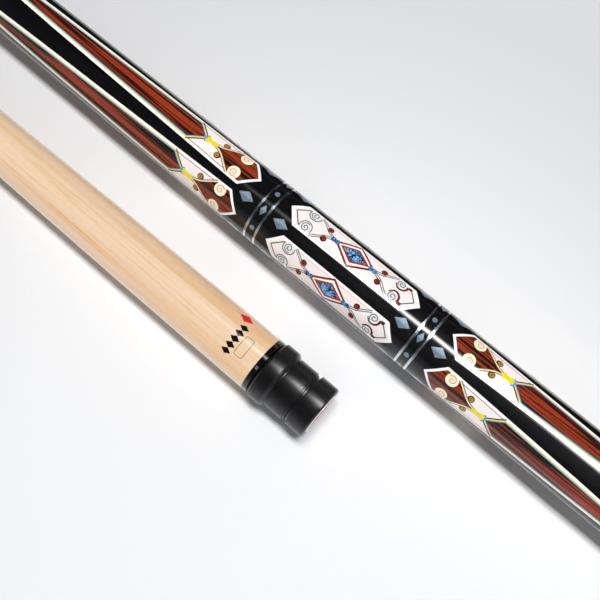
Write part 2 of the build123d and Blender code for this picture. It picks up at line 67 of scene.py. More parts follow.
COLLAR_END = 14.0
SHAFT_COLLAR_END = 2.05
RING_STATIONS = (231.0, 300.0, 600.0, 669.0)
RING_SPACING = 4.3
RING_WIDTH = 0.9
DIAMOND_OFFSET = 5.6
CAP_END = 737.0
BUMPER_END = 745.0

SEGMENTS, SCREW_SEGMENTS = 160, 72
SAME_POINT = 2e-7                # metres under which two points of a mesh are one
INLAY_DEPTH = 0.4
FIRST_LIFT, LIFT_STEP = 0.020, 0.012


# ---- places on a stick
class Stick:
    """A stick's axis, from its protector's hinge, and its surface."""

    def __init__(self, hinge, radius):
        joint = next(j for j in frame["joints"] if j["name"] == hinge)
        self.face = np.array(joint["pos_m"])
        axis = np.array(joint["axis"], float)
        self.along = -axis / np.linalg.norm(axis)
        self.side = np.array([1.0, 0.0, 0.0])
        up = np.cross(self.side, self.along)
        self.up = up if up[2] > 0 else -up
        self.radius = radius

    def at(self, station, radius, degrees):
        """Points in metres for arrays of stations, radii and angles."""
        turn = np.radians(degrees)[..., None]
        out = np.cos(turn) * self.up + np.sin(turn) * self.side
        along = np.asarray(station)[..., None] * self.along
        return self.face + (along + np.asarray(radius)[..., None] * out) * MM


def butt_radius(station):
    return JOINT_RADIUS + BUTT_GROWTH * np.asarray(station, float)


def hermite(first, last, slope_in, slope_out, span, t):
    """A smooth step between two values with given slopes, at shares t of the span."""
    return (
        first * (1 + 2 * t) * (1 - t) ** 2
        + slope_in * span * t * (1 - t) ** 2
        + last * t * t * (3 - 2 * t)
        + slope_out * span * t * t * (t - 1)
    )


def shaft_radius(station):
    """The shaft's slender taper, through the same stations as the turned wood, smoothly."""
    knots = np.array(SHAFT_TAPER, float)
    x, y = knots[:, 0], knots[:, 1]
    slope = np.gradient(y, x)
    slope[0], slope[-1] = 0.0, 0.0
    s = np.clip(np.asarray(station, float), x[0], x[-1])
    i = np.clip(np.searchsorted(x, s) - 1, 0, len(x) - 2)
    h = x[i + 1] - x[i]
    t = (s - x[i]) / h
    return hermite(y[i], y[i + 1], slope[i], slope[i + 1], h, t)


BUTT = Stick("butt_protector_turn", butt_radius)
SHAFT = Stick("shaft_protector_turn", shaft_radius)


# ---- meshes
class Shape:
    """Collects closed solids into one mesh."""

    def __init__(self):
        self.points, self.faces, self.slots, self.count = [], [], [], 0

    def add(self, points, faces, slot=0):
        base = self.count
        self.points.append(points.reshape(-1, 3))
        self.count += len(self.points[-1])
        self.faces += [tuple(base + i for i in face) for face in faces]
        self.slots += [slot] * len(faces)

    def slab(self, top, bottom, slot=0):
        """A closed solid between two grids of points of one shape."""
        n, m = top.shape[:2]
        index = np.arange(2 * n * m).reshape(2, n, m)
        faces = []
        for layer, order in ((index[0], 1), (index[1], -1)):
            for i in range(n - 1):
                for j in range(m - 1):
                    quad = [layer[i, j], layer[i + 1, j], layer[i + 1, j + 1], layer[i, j + 1]]
                    faces.append(quad[::order])
        rim = [(i, 0) for i in range(n)] + [(n - 1, j) for j in range(1, m)]
        rim += [(i, m - 1) for i in range(n - 2, -1, -1)] + [(0, j) for j in range(m - 2, 0, -1)]
        for (a, b), (c, d) in zip(rim, rim[1:] + rim[:1]):
            faces.append([index[0, a, b], index[1, a, b], index[1, c, d], index[0, c, d]])
        self.add(np.concatenate([top.reshape(-1, 3), bottom.reshape(-1, 3)]), faces, slot)

    def stand_for(self, node, how, *materials, sharp=25.0):
        """Makes the object that stands for a node, on the node's body."""
        made = self.make(f"{node}_{how}", materials, BODY_OF[node], SLOT_OF[node], sharp)
        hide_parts(node)

    def make(self, name, materials, body, slot, sharp=25.0):
        """Makes an object that rides on a body, with the given materials. The slot is not used."""
        mesh = bpy.data.meshes.new(name)
        mesh.from_pydata(np.concatenate(self.points).tolist(), [], self.faces)
        for material in materials:
            mesh.materials.append(material)
        mesh.polygons.foreach_set("material_index", self.slots)
        cleaned = bmesh.new()
        cleaned.from_mesh(mesh)
        bmesh.ops.remove_doubles(cleaned, verts=cleaned.verts, dist=SAME_POINT)
        bmesh.ops.dissolve_degenerate(cleaned, edges=cleaned.edges, dist=SAME_POINT)
        bmesh.ops.recalc_face_normals(cleaned, faces=cleaned.faces)
        cleaned.to_mesh(mesh)
        cleaned.free()
        mesh.shade_smooth()
        mesh.set_sharp_from_angle(angle=math.radians(sharp))
        made = bpy.data.objects.new(name, mesh)
        bpy.context.scene.collection.objects.link(made)
        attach(made, body)
        return made


def is_ring(profile):
    """Whether a profile closes on itself, as one that doesn't start and end on the axis does."""
    return profile[0][1] != 0 or profile[-1][1] != 0


def softened(profile, reach):
    """A profile with its corners rounded over a short reach."""
    out, count = [], len(profile)
    for k, corner in enumerate(profile):
        if not is_ring(profile) and k in (0, count - 1):
            out.append(corner)
            continue
        corner = np.array(corner, float)
        before = np.array(profile[k - 1], float) - corner
        after = np.array(profile[(k + 1) % count], float) - corner
        cut = min(reach, 0.45 * np.linalg.norm(before), 0.45 * np.linalg.norm(after))
        start = corner + before / np.linalg.norm(before) * cut
        end = corner + after / np.linalg.norm(after) * cut
        for t in (0.0, 0.5, 1.0):
            out.append(tuple((1 - t) ** 2 * start + 2 * t * (1 - t) * corner + t * t * end))
    return out


def turned(shape, stick, profile, relief=None, segments=SEGMENTS, slot=0):
    """Adds a solid turned about a stick's axis. A profile that starts and ends on the axis is solid,
    and any other is a ring. Relief is added to the radius: a function of station and turns."""
    profile = np.array(profile, float)
    turns = np.arange(segments) / segments
    rings, points, base = [], [], 0
    for station, radius in profile:
        if radius == 0:
            points.append(stick.at(np.array([station]), np.array([0.0]), np.array([0.0])))
            rings.append([base] * segments)
            base += 1
            continue
        radii = np.full(segments, radius)
        if relief:
            radii = radii + relief(station, turns)
        points.append(stick.at(np.full(segments, station), radii, turns * 360))
        rings.append(list(range(base, base + segments)))
        base += segments
    faces = []
    pairs = list(zip(rings, rings[1:] + rings[:1]))[: None if is_ring(profile) else -1]
    for near, far in pairs:
        for k in range(segments):
            n = (k + 1) % segments
            quad = [near[k], near[n], far[n], far[k]]
            face = [v for v, w in zip(quad, quad[1:] + quad[:1]) if v != w]
            if len(face) > 2:
                faces.append(face)
    shape.add(np.concatenate(points), faces, slot)


def turned_piece(node, stick, profile, material, how="turned", reach=0.0, **options):
    """One turned object, which stands for a node."""
    shape = Shape()
    turned(shape, stick, softened(profile, reach) if reach else profile, **options)
    shape.stand_for(node, how, material)


class Spot:
    """A place on a stick's surface: local x runs along it and local y around it, in mm of arc."""

    def __init__(self, stick, station, degrees, forwards=False):
        self.stick, self.station, self.degrees = stick, station, degrees
        self.sign = -1 if forwards else 1

    def place(self, x, y, height):
        station = self.station + self.sign * np.asarray(x, float)
        radius = self.stick.radius(station)
        return self.stick.at(station, radius + height, self.degrees + np.degrees(np.asarray(y) / radius))


def lift(layer):
    return FIRST_LIFT + LIFT_STEP * layer


def patch(shape, spot, xs, low, high, layer, slot=0, step=0.5):
    """Adds an inlay between two edges, given at each x."""
    xs, low, high = (np.asarray(v, float) for v in (xs, low, high))
    rows = max(3, int(np.ceil((high - low).max() / step)) + 1)
    share = np.linspace(0, 1, rows)
    y = low[:, None] + (high - low)[:, None] * share
    x = np.repeat(xs[:, None], rows, axis=1)
    shape.slab(spot.place(x, y, lift(layer)), spot.place(x, y, -INLAY_DEPTH), slot)


def lozenge(shape, spot, half_length, half_height, layer, slot=0, step=0.5, count=25):
    xs = np.linspace(-half_length, half_length, count)
    half = half_height * (1 - np.abs(xs) / half_length)
    patch(shape, spot, xs, -half, half, layer, slot, step)


def disc(shape, spot, x, y, radius, layer, slot=0):
    turn = np.linspace(0, math.pi, 25)
    xs, half = x - radius * np.cos(turn), radius * np.sin(turn)
    patch(shape, spot, xs, y - half, y + half, layer, slot, step=radius / 3)


def dense(points, width, closed, step=0.5):
    """The same path and width with points close enough to follow the round surface."""
    ends = np.vstack([points, points[:1]]) if closed else points
    widths = np.append(width, width[0]) if closed else width
    out = []
    for a, b, wa, wb in zip(ends, ends[1:], widths, widths[1:]):
        count = max(1, int(np.ceil(np.linalg.norm(b - a) / step)))
        share = (np.arange(count) / count)[:, None]
        out.append(np.hstack([a + (b - a) * share, wa + (wb - wa) * share]))
    out = np.vstack(out + ([] if closed else [np.append(ends[-1], widths[-1])[None]]))
    return out[:, :2], out[:, 2]


def stroke(shape, spot, points, width, layer, slot=0, closed=False):
    """Adds a line of even or varying width through points."""
    points = np.asarray(points, float)
    points, width = dense(points, np.broadcast_to(np.asarray(width, float), len(points)), closed)
    if closed:
        ahead, behind = np.roll(points, -1, axis=0), np.roll(points, 1, axis=0)
        before, after = points - behind, ahead - points
    else:
        after = np.vstack([points[1:] - points[:-1], points[-1:] - points[-2:-1]])
        before = np.vstack([points[1:2] - points[:1], points[1:] - points[:-1]])
    before /= np.linalg.norm(before, axis=1)[:, None]
    after /= np.linalg.norm(after, axis=1)[:, None]
    middle = before + after
    middle /= np.linalg.norm(middle, axis=1)[:, None]
    mitre = 1 / np.maximum(0.35, (middle * after).sum(axis=1))
    normal = np.stack([-middle[:, 1], middle[:, 0]], axis=1) * (mitre * width / 2)[:, None]
    rows = points[:, None, :] + normal[:, None, :] * np.array([-1.0, 0.0, 1.0])[None, :, None]
    if closed:
        rows = np.concatenate([rows, rows[:1]])
    x, y = rows[..., 0], rows[..., 1]
    shape.slab(spot.place(x, y, lift(layer)), spot.place(x, y, -INLAY_DEPTH), slot)


def curve(points, count=14):
    """A smooth line through a few points."""
    points = np.asarray(points, float)
    reach = np.concatenate([[0], np.cumsum(np.linalg.norm(np.diff(points, axis=0), axis=1))])
    slope = np.gradient(points, reach, axis=0)
    s = np.linspace(0, reach[-1], count)
    i = np.clip(np.searchsorted(reach, s) - 1, 0, len(points) - 2)
    h = (reach[i + 1] - reach[i])[:, None]
    t = (s[:, None] - reach[i][:, None]) / h
    return hermite(points[i], points[i + 1], slope[i], slope[i + 1], h, t)


def spiral(x, y, outer, inner, start, turns, count=40, flip=1):
    t = np.linspace(0, 1, count)
    angle = np.radians(start) + flip * 2 * math.pi * turns * t
    radius = outer + (inner - outer) * t
    return np.stack([x + radius * np.cos(angle), y + radius * np.sin(angle)], axis=1)


def facet_spots(station, first, forwards=False, stick=BUTT):
    """The five places around a stick at a station."""
    return [Spot(stick, station, first + FACET_STEP * k, forwards) for k in range(FACETS)]


# ---- materials
class Tree:
    """The nodes of a material or a world, and short ways to add to them."""

    def __init__(self, owner):
        owner.use_nodes = True
        self.nodes, self.links = owner.node_tree.nodes, owner.node_tree.links

    def node(self, kind, inputs=None, **settings):
        made = self.nodes.new(kind)
        for key, value in settings.items():
            setattr(made, key, value)
        for key, value in (inputs or {}).items():
            if isinstance(value, bpy.types.NodeSocket):
                self.links.new(value, made.inputs[key])
            else:
                made.inputs[key].default_value = value
        return made

    def ramp(self, value, stops, interpolation="LINEAR"):
        made = self.node("ShaderNodeValToRGB", {"Fac": value})
        made.color_ramp.interpolation = interpolation
        elements = made.color_ramp.elements
        while len(elements) < len(stops):
            elements.new(0.5)
        for element, (position, colour) in zip(elements, stops):
            element.position = position
            element.color = (*colour, 1.0)
        return made.outputs["Color"]

    def range(self, value, low, high, to_low, to_high):
        inputs = {"Value": value, "From Min": low, "From Max": high, "To Min": to_low, "To Max": to_high}
        return self.node("ShaderNodeMapRange", inputs).outputs["Result"]

    def mixed(self, share, first, second, mode="MIX"):
        made = self.node("ShaderNodeMix", data_type="RGBA", blend_type=mode)
        for key, value in ((0, share), (6, first), (7, second)):
            if isinstance(value, bpy.types.NodeSocket):
                self.links.new(value, made.inputs[key])
            else:
                made.inputs[key].default_value = value if key == 0 else (*value, 1.0)
        return made.outputs[2]


class Finish(Tree):
    """A Principled material."""

    def __init__(self, name, **sockets):
        self.material = bpy.data.materials.new(name)
        super().__init__(self.material)
        self.shader = self.nodes["Principled BSDF"]
        for socket, value in sockets.items():
            self.shader.inputs[socket.replace("_", " ")].default_value = value
        self.place = self.node("ShaderNodeTexCoord").outputs["Object"]

    def stretched(self, scale):
        return self.node("ShaderNodeMapping", {"Vector": self.place, "Scale": scale}).outputs[0]

    def noise(self, vector, scale, detail=3.0, roughness=0.5, distortion=0.0):
        inputs = {"Vector": vector, "Scale": scale, "Detail": detail, "Roughness": roughness}
        inputs["Distortion"] = distortion
        return self.node("ShaderNodeTexNoise", inputs).outputs["Fac"]

    def put(self, socket, value):
        self.links.new(value, self.shader.inputs[socket])

    def bump(self, value, strength, distance):
        inputs = {"Height": value, "Strength": strength, "Distance": distance * MM}
        made = self.node("ShaderNodeBump", inputs)
        self.put("Normal", made.outputs["Normal"])


def rgb(red, green, blue):
    """A colour given on a display's scale, 0 to 255, as the linear colour that nodes take."""
    out = []
    for value in (red, green, blue):
        value /= 255
        out.append(value / 12.92 if value <= 0.04045 else ((value + 0.055) / 1.055) ** 2.4)
    return tuple(out)


def grey(value):
    return (value, value, value)


LACQUER = dict(Coat_Weight=1.0, Coat_Roughness=0.03, Coat_IOR=1.5, Specular_IOR_Level=0.05)


def plain(name, colour, spread=0.06, scale=900.0, rough=0.3, lacquered=True, metal=0.0, **sockets):
    """An even material with a faint variation of tone and of roughness."""
    coat = LACQUER if lacquered else {}
    f = Finish(name, Metallic=metal, **coat, **sockets)
    grain = f.noise(f.stretched((1, 1, 1)), scale, 4.0)
    dark, light = (tuple(c * k for c in colour) for k in (1 - spread, 1 + spread))
    f.put("Base Color", f.ramp(grain, [(0.35, dark), (0.65, light)]))
    f.put("Roughness", f.range(grain, 0.3, 0.7, rough * 0.9, rough * 1.15))
    return f.material


def ebony_finish():
    f = Finish("ebony_lacquered", **LACQUER)
    streaks = f.noise(f.stretched((1, 0.03, 1)), 900, 5.0, 0.6)
    tones = [(0.4, rgb(9, 9, 11)), (0.62, rgb(15, 14, 15)), (0.8, rgb(26, 22, 21))]
    f.put("Base Color", f.ramp(streaks, tones))
    f.put("Roughness", f.range(streaks, 0.3, 0.7, 0.45, 0.55))
    return f.material


def cocobolo_finish():
    """Red brown wood with thin, dark, nearly straight growth lines along the stick."""
    f = Finish("cocobolo_lacquered", **LACQUER)
    figure = f.noise(f.stretched((1, 0.018, 1)), 400, 2.0, 0.45, 0.3)
    fibres = f.noise(f.stretched((1, 0.02, 1)), 2600, 3.0, 0.6)
    rings = f.node("ShaderNodeMath", {0: figure, 1: 40.0}, operation="MULTIPLY").outputs[0]
    bands = f.node("ShaderNodeMath", {0: rings}, operation="SINE").outputs[0]
    ragged = f.range(fibres, 0.35, 0.65, -0.45, 0.45)
    uneven = f.node("ShaderNodeMath", {0: bands, 1: ragged}, operation="ADD").outputs[0]
    tones = [(0.15, rgb(152, 56, 30)), (0.48, rgb(134, 49, 26)), (0.66, rgb(84, 36, 21)),
             (0.80, rgb(34, 20, 14))]
    base = f.ramp(f.range(uneven, -1.2, 1.2, 0.0, 1.0), tones)
    broad = f.ramp(f.noise(f.stretched((1, 0.03, 1)), 150, 2.0), [(0.36, grey(0.72)), (0.58, grey(1))])
    f.put("Base Color", f.mixed(1.0, base, broad, "MULTIPLY"))
    f.put("Roughness", f.range(figure, 0.3, 0.7, 0.5, 0.35))
    return f.material


def maple_finish():
    """Pale wood with a broad soft figure, fine veins and short flecks."""
    sealer = dict(Coat_Weight=1.0, Coat_Roughness=0.06, Coat_IOR=1.45, Specular_IOR_Level=0.1)
    f = Finish("maple_sealed", **sealer)
    broad = f.noise(f.stretched((1, 0.02, 1)), 190, 3.0, 0.5, 0.4)
    lines = f.noise(f.stretched((1, 0.012, 1)), 1000, 3.0, 0.6)
    flecks = f.noise(f.stretched((1, 0.16, 1)), 1500, 2.0, 0.55)
    tones = [(0.34, rgb(225, 184, 141)), (0.46, rgb(226, 195, 163)), (0.60, rgb(228, 199, 169)),
             (0.74, rgb(222, 188, 153))]
    base = f.ramp(broad, tones)
    veins = f.ramp(lines, [(0.32, rgb(236, 206, 172)), (0.46, grey(1)), (0.6, grey(1))])
    specks = f.ramp(flecks, [(0.28, rgb(240, 220, 196)), (0.40, grey(1))])
    f.put("Base Color", f.mixed(0.4, f.mixed(0.5, base, veins, "MULTIPLY"), specks, "MULTIPLY"))
    f.put("Roughness", f.range(lines, 0.3, 0.7, 0.42, 0.34))
    f.bump(lines, 0.05, 0.01)
    return f.material


def turquoise_finish():
    """Sky blue stone with a patchy dark matrix between its nodules."""
    f = Finish("turquoise_lacquered", **LACQUER)
    nodules = {"Vector": f.place, "Scale": 900.0}
    cells = f.node("ShaderNodeTexVoronoi", nodules, feature="DISTANCE_TO_EDGE")
    clouds = f.noise(f.place, 900, 3.0)
    tones = [(0.35, rgb(84, 152, 222)), (0.55, rgb(112, 184, 245)), (0.7, rgb(150, 210, 250))]
    blue = f.ramp(clouds, tones)
    matrix = f.ramp(cells.outputs["Distance"], [(0.08, rgb(46, 40, 42)), (0.20, grey(1))])
    patches = f.ramp(f.noise(f.place, 420, 2.0), [(0.36, grey(0.3)), (0.50, grey(1))])
    f.put("Base Color", f.mixed(patches, blue, matrix, "MULTIPLY"))
    f.put("Roughness", f.range(clouds, 0.3, 0.7, 0.3, 0.4))
    return f.material


def pearl_finish(name, dark, light, metal=0.0, rough=0.28):
    f = Finish(name, Metallic=metal, **LACQUER)
    sheen = f.noise(f.place, 450, 3.0, 0.6, 1.5)
    f.put("Base Color", f.ramp(sheen, [(0.3, dark), (0.5, light), (0.72, dark)]))
    f.put("Roughness", f.range(sheen, 0.3, 0.7, rough, rough * 1.5))
    return f.material


def turned_metal(name, colour, rough=0.2, lacquered=False, marks_depth=0.01):
    f = Finish(name, Metallic=1.0, **(LACQUER if lacquered else {}))
    marks = f.noise(f.stretched((1, 22, 1)), 300, 4.0, 0.6)
    dark, light = (tuple(c * k for c in colour) for k in (0.86, 1.05))
    f.put("Base Color", f.ramp(marks, [(0.35, dark), (0.65, light)]))
    f.put("Roughness", f.range(marks, 0.3, 0.7, rough * 0.7, rough * 1.3))
    f.bump(marks, 0.15, marks_depth)
    return f.material


def moulded(name, colour, rough, depth=0.01, specular=0.5, turned_marks=False):
    """Dull plastic, rubber or fibre, with a fine grain or with the marks of turning."""
    f = Finish(name, Specular_IOR_Level=specular)
    stretch, scale = ((1, 14, 1), 260) if turned_marks else ((1, 1, 1), 2200)
    marks = f.noise(f.stretched(stretch), scale, 4.0, 0.6)
    dark, light = (tuple(c * k for c in colour) for k in (0.88, 1.1))
    f.put("Base Color", f.ramp(marks, [(0.35, dark), (0.65, light)]))
    f.put("Roughness", f.range(marks, 0.3, 0.7, rough * 0.95, rough * 1.05))
    if depth:
        f.bump(marks, 0.2, depth)
    return f.material


def leather_finish():
    f = Finish("leather_layered")
    layers = f.noise(f.stretched((1, 30, 1)), 220, 3.0)
    f.put("Base Color", f.ramp(layers, [(0.35, rgb(58, 42, 34)), (0.6, rgb(96, 70, 54))]))
    f.put("Roughness", f.range(layers, 0.3, 0.7, 0.75, 0.9))
    f.bump(f.noise(f.place, 2600, 4.0), 0.5, 0.04)
    return f.material


ebony = ebony_finish()
cocobolo = cocobolo_finish()
maple = maple_finish()
turquoise = turquoise_finish()
white_veneer = plain("white_veneer_lacquered", rgb(250, 247, 243), 0.02)
yellow_veneer = plain("yellow_veneer_lacquered", rgb(226, 214, 90), 0.05)
blue_veneer = plain("blue_veneer_lacquered", rgb(88, 148, 206), 0.06)
ivory = plain("ivory_lacquered", rgb(243, 233, 230), 0.02, 240.0)
yellow_resin = plain("yellow_resin_lacquered", rgb(232, 214, 38), 0.05)
cream_resin = plain("cream_resin_lacquered", rgb(246, 240, 206), 0.03)
pink_line = plain("pink_resin_lacquered", rgb(226, 160, 158), 0.05)
rose_line = plain("rose_veneer_lacquered", rgb(150, 58, 50), 0.08)
red_brown = plain("red_brown_wood_lacquered", rgb(156, 52, 24), 0.2, 1400.0)
brown_line = plain("brown_wood_lacquered", rgb(74, 40, 22), 0.15, 1400.0)
gold_line = plain("gold_resin_lacquered", rgb(196, 150, 62), 0.1)
dark_line = plain("dark_wood_lacquered", rgb(30, 22, 20), 0.1)
pale_line = plain("pale_veneer_lacquered", rgb(232, 222, 184), 0.05)
pearl = pearl_finish("pearl_lacquered", rgb(206, 208, 210), rgb(236, 236, 234))
grey_pearl = pearl_finish("grey_pearl_lacquered", rgb(58, 60, 65), rgb(94, 97, 102))
# Two copies of one silver, lit and shaded: painted light and shade on the diamonds' two halves. The pale one is
# also the collar dashes' own colour, the dark one the ring dots' own colour.
pale_silver_and_painted_lit = pearl_finish("silver_pale_and_painted_lit", rgb(116, 133, 148), rgb(148, 164, 178), 0.15)
dark_silver_and_painted_shade = pearl_finish("silver_dark_and_painted_shade", rgb(94, 110, 126), rgb(120, 136, 151), 0.15)
ring_metal = turned_metal("ring_silver_lacquered", rgb(210, 218, 226), 0.25, True, 0.001)
black_resin = plain("black_resin_gloss", rgb(12, 12, 14), 0.1, 700.0, 0.25)
protector_black = moulded("protector_black_satin", rgb(14, 14, 15), 0.31, turned_marks=True, depth=0)
ring_white = plain("protector_ring_gloss", rgb(232, 232, 234), 0.02, 500.0, 0.25)
disc_red = plain("protector_disc_gloss", rgb(196, 52, 60), 0.06, 500.0, 0.3)
brass = turned_metal("brass_turned", rgb(206, 166, 96), 0.28)
steel = turned_metal("steel_turned", rgb(190, 192, 196), 0.24)
rubber = moulded("rubber_moulded", rgb(22, 22, 23), 0.75, depth=0.03, specular=0.3)
ferrule_white = plain("ferrule_polished", rgb(236, 232, 222), 0.02, 300.0, 0.25)
fibre = moulded("fibre_turned", rgb(34, 34, 38), 0.6, turned_marks=True)
leather = leather_finish()
black_ink = plain("black_ink", rgb(14, 14, 16), 0.1, 1500.0, 0.35)
red_ink = plain("red_ink", rgb(214, 24, 32), 0.08, 1500.0, 0.35)


# ---- turned pieces of the butt
def cone(near, far):
    """Half section of a solid stretch of the butt."""
    return [(near, 0), (near, float(butt_radius(near))), (far, float(butt_radius(far))), (far, 0)]


RING_FRONT = [s - RING_WIDTH / 2 for s in RING_STATIONS]
RING_REAR = [s + RING_SPACING + RING_WIDTH / 2 for s in RING_STATIONS]

for node, near, far in (
    ("forearm", COLLAR_END, RING_FRONT[0]),
    ("window_section", RING_REAR[0], RING_FRONT[1]),
    ("handle", RING_REAR[1], RING_FRONT[2]),
    ("butt_sleeve", RING_REAR[2], RING_FRONT[3]),
    ("front_ring_band", RING_FRONT[0] + RING_WIDTH, RING_REAR[0] - RING_WIDTH),
    ("second_ring_band", RING_FRONT[1] + RING_WIDTH, RING_REAR[1] - RING_WIDTH),
    ("third_ring_band", RING_FRONT[2] + RING_WIDTH, RING_REAR[2] - RING_WIDTH),
    ("rear_ring_band", RING_FRONT[3] + RING_WIDTH, RING_REAR[3] - RING_WIDTH),
):
    turned_piece(node, BUTT, cone(near, far), ebony)

rings = Shape()
for front, rear in zip(RING_FRONT, RING_REAR):
    turned(rings, BUTT, cone(front, front + RING_WIDTH))
    turned(rings, BUTT, cone(rear - RING_WIDTH, rear))
rings.stand_for("silver_rings", "turned", ring_metal)

PIN_RADIUS, PIN_REACH, PIN_ROOT, PIN_THREAD = 4.75, 30.0, 28.0, (-28.0, -1.5)
STUD_ROOT, STUD_REACH, STUD_THREAD = -14.0, 18.0, (1.5, 16.0)
THREAD_PITCH, THREAD_DEPTH = 2.54, 0.55
CHAMFER_LENGTH, CHAMFER_DROP = 1.6, 1.4
SOCKET_RADIUS, INSERT_RADIUS = 4.81, 6.5
CORNER = 0.12

joint_collar = [(0, PIN_RADIUS), (0, JOINT_RADIUS - 0.15), (0.15, JOINT_RADIUS)]
joint_collar += [(COLLAR_END, float(butt_radius(COLLAR_END))), (COLLAR_END, PIN_RADIUS)]
turned_piece("joint_collar", BUTT, joint_collar, black_resin)

cap_start, rear_contact = RING_REAR[3], CAP_END - 1.0
butt_end_radius = float(butt_radius(rear_contact))
BUMPER_STEM, BUMPER_SOCKET, BUMPER_HEAD, BUMPER_HOLLOW = 8.45, 8.5, 13.5, 0.5
CAP_BORE, WEIGHT_RADIUS, WEIGHT_START, SOCKET_FLOOR = 4.0, 6.35, 692, CAP_END - 10
butt_cap = [
    (cap_start, CAP_BORE), (cap_start, float(butt_radius(cap_start))), (rear_contact, butt_end_radius),
    (CAP_END - 0.3, butt_end_radius - 0.3), (CAP_END, butt_end_radius - 1.0), (CAP_END, BUMPER_SOCKET),
    (SOCKET_FLOOR, BUMPER_SOCKET), (SOCKET_FLOOR, WEIGHT_RADIUS), (WEIGHT_START, CAP_BORE),
]
turned_piece("butt_cap", BUTT, butt_cap, black_resin)

bumper = [
    (SOCKET_FLOOR + 0.2, 0), (SOCKET_FLOOR + 0.2, BUMPER_STEM), (CAP_END, BUMPER_STEM),
    (CAP_END, BUMPER_HEAD), (BUMPER_END - 3, BUMPER_HEAD), (BUMPER_END - 0.9, BUMPER_HEAD - 0.9),
    (BUMPER_END, BUMPER_HEAD - 3), (BUMPER_END, 9.0), (BUMPER_END - BUMPER_HOLLOW, 8.5),
    (BUMPER_END - BUMPER_HOLLOW, 3.0), (BUMPER_END, 2.5), (BUMPER_END, 0),
]
turned_piece("bumper", BUTT, bumper, rubber, "moulded", reach=0.5)


def thread(first, last):
    """Relief of a right-hand thread between two stations, cut into a screw's radius."""
    def relief(station, turns):
        phase = (station / THREAD_PITCH + turns) % 1.0
        inside = 1.0 if first <= station <= last else 0.0
        return -THREAD_DEPTH * inside * (1 - np.abs(2 * phase - 1)) ** 0.8
    return relief


def screw_profile(root, reach, step=0.22):
    """Half section of a screw from its root to its chamfered end, fine enough for a thread."""
    way = 1 if reach > root else -1
    chamfer = reach - way * CHAMFER_LENGTH
    profile = [(root, 0)] + [(s, PIN_RADIUS) for s in np.arange(root, chamfer, way * step)]
    return profile + [(chamfer, PIN_RADIUS), (reach, PIN_RADIUS - CHAMFER_DROP), (reach, 0)]


turned_piece("joint_pin", BUTT, screw_profile(PIN_ROOT, -PIN_REACH), steel, "threaded",
             relief=thread(*PIN_THREAD), segments=SCREW_SEGMENTS)

# ---- joint protectors
RECESS_RADIUS, RECESS_DEPTH = 8.1, 1.5
RECESS_CLEARANCE = 0.15
END_RING_OUTER, END_RING_INNER, END_RING_PROUD, END_DISC_PROUD, DISC_SHOULDER = 7.95, 6.8, 0.25, 0.55, 1.2
INSERT_FLOOR, INSERT_END = 32.0, 34.0


def insert_profile(mouth, way):
    """Half section of a threaded insert's sleeve, from its mouth to its closed end."""
    floor, end = way * INSERT_FLOOR, way * INSERT_END
    return [(mouth, SOCKET_RADIUS), (mouth, INSERT_RADIUS), (end, INSERT_RADIUS), (end, 0), (floor, 0),
            (floor, SOCKET_RADIUS)]


def protector_profile(length, bore, bore_depth):
    """Half section of a protector: distance out from the joint face and radius."""
    return [
        (0.1, bore), (0.1, 9.9), (0.45, 10.5), (1.2, 11.25), (6.05, 11.25), (7.35, 10.25),
        (7.45, 9.85), (8.0, 9.85), (8.1, 10.1), (length - 9.1, 10.1),
        (length - 9.0, 9.7), (length - 8.4, 9.7), (length - 8.2, 9.15), (length - 7.3, 9.15),
        (length - 7.2, 10.3), (length - 0.6, 10.3), (length, 9.7), (length, RECESS_RADIUS),
        (length - RECESS_DEPTH, RECESS_RADIUS), (length - RECESS_DEPTH, 0), (bore_depth, 0),
        (bore_depth, bore),
    ]


for stem, stick, length, bore, depth in (
    ("shaft", SHAFT, 24.5, PIN_RADIUS, 14.0),
    ("butt", BUTT, 46.5, INSERT_RADIUS, INSERT_END),
):
    floor_at = length - RECESS_DEPTH + RECESS_CLEARANCE
    ring_face, disc_face = length + END_RING_PROUD, length + END_DISC_PROUD
    cap = softened(protector_profile(length, bore, depth), CORNER)
    ring = softened([(floor_at, END_RING_INNER), (floor_at, END_RING_OUTER), (ring_face, END_RING_OUTER),
                     (ring_face, END_RING_INNER)], CORNER)
    dome = [(floor_at, 0), (floor_at, END_RING_INNER), (ring_face, END_RING_INNER),
            (disc_face, END_RING_INNER - DISC_SHOULDER), (disc_face, 0)]
    for piece, half_section, material in (
        ("protector", cap, protector_black), ("protector_ring", ring, ring_white),
        ("protector_disc", softened(dome, 2 * CORNER), disc_red),
    ):
        turned_piece(f"{stem}_{piece}", stick, [(-out, r) for out, r in half_section], material)

turned_piece("shaft_protector_stud", SHAFT, screw_profile(STUD_ROOT, STUD_REACH), steel, "threaded",
             relief=thread(*STUD_THREAD), segments=SCREW_SEGMENTS)
turned_piece("butt_protector_insert", BUTT, insert_profile(-0.1, -1), brass)

# ---- turned pieces of the shaft
turned_piece("shaft_insert", SHAFT, insert_profile(0, 1), brass)
shaft_collar = [(0, INSERT_RADIUS), (0, JOINT_RADIUS - 0.2), (0.2, JOINT_RADIUS)]
shaft_collar += [(SHAFT_COLLAR_END, JOINT_RADIUS), (SHAFT_COLLAR_END, INSERT_RADIUS)]
turned_piece("shaft_collar", SHAFT, shaft_collar, black_resin)

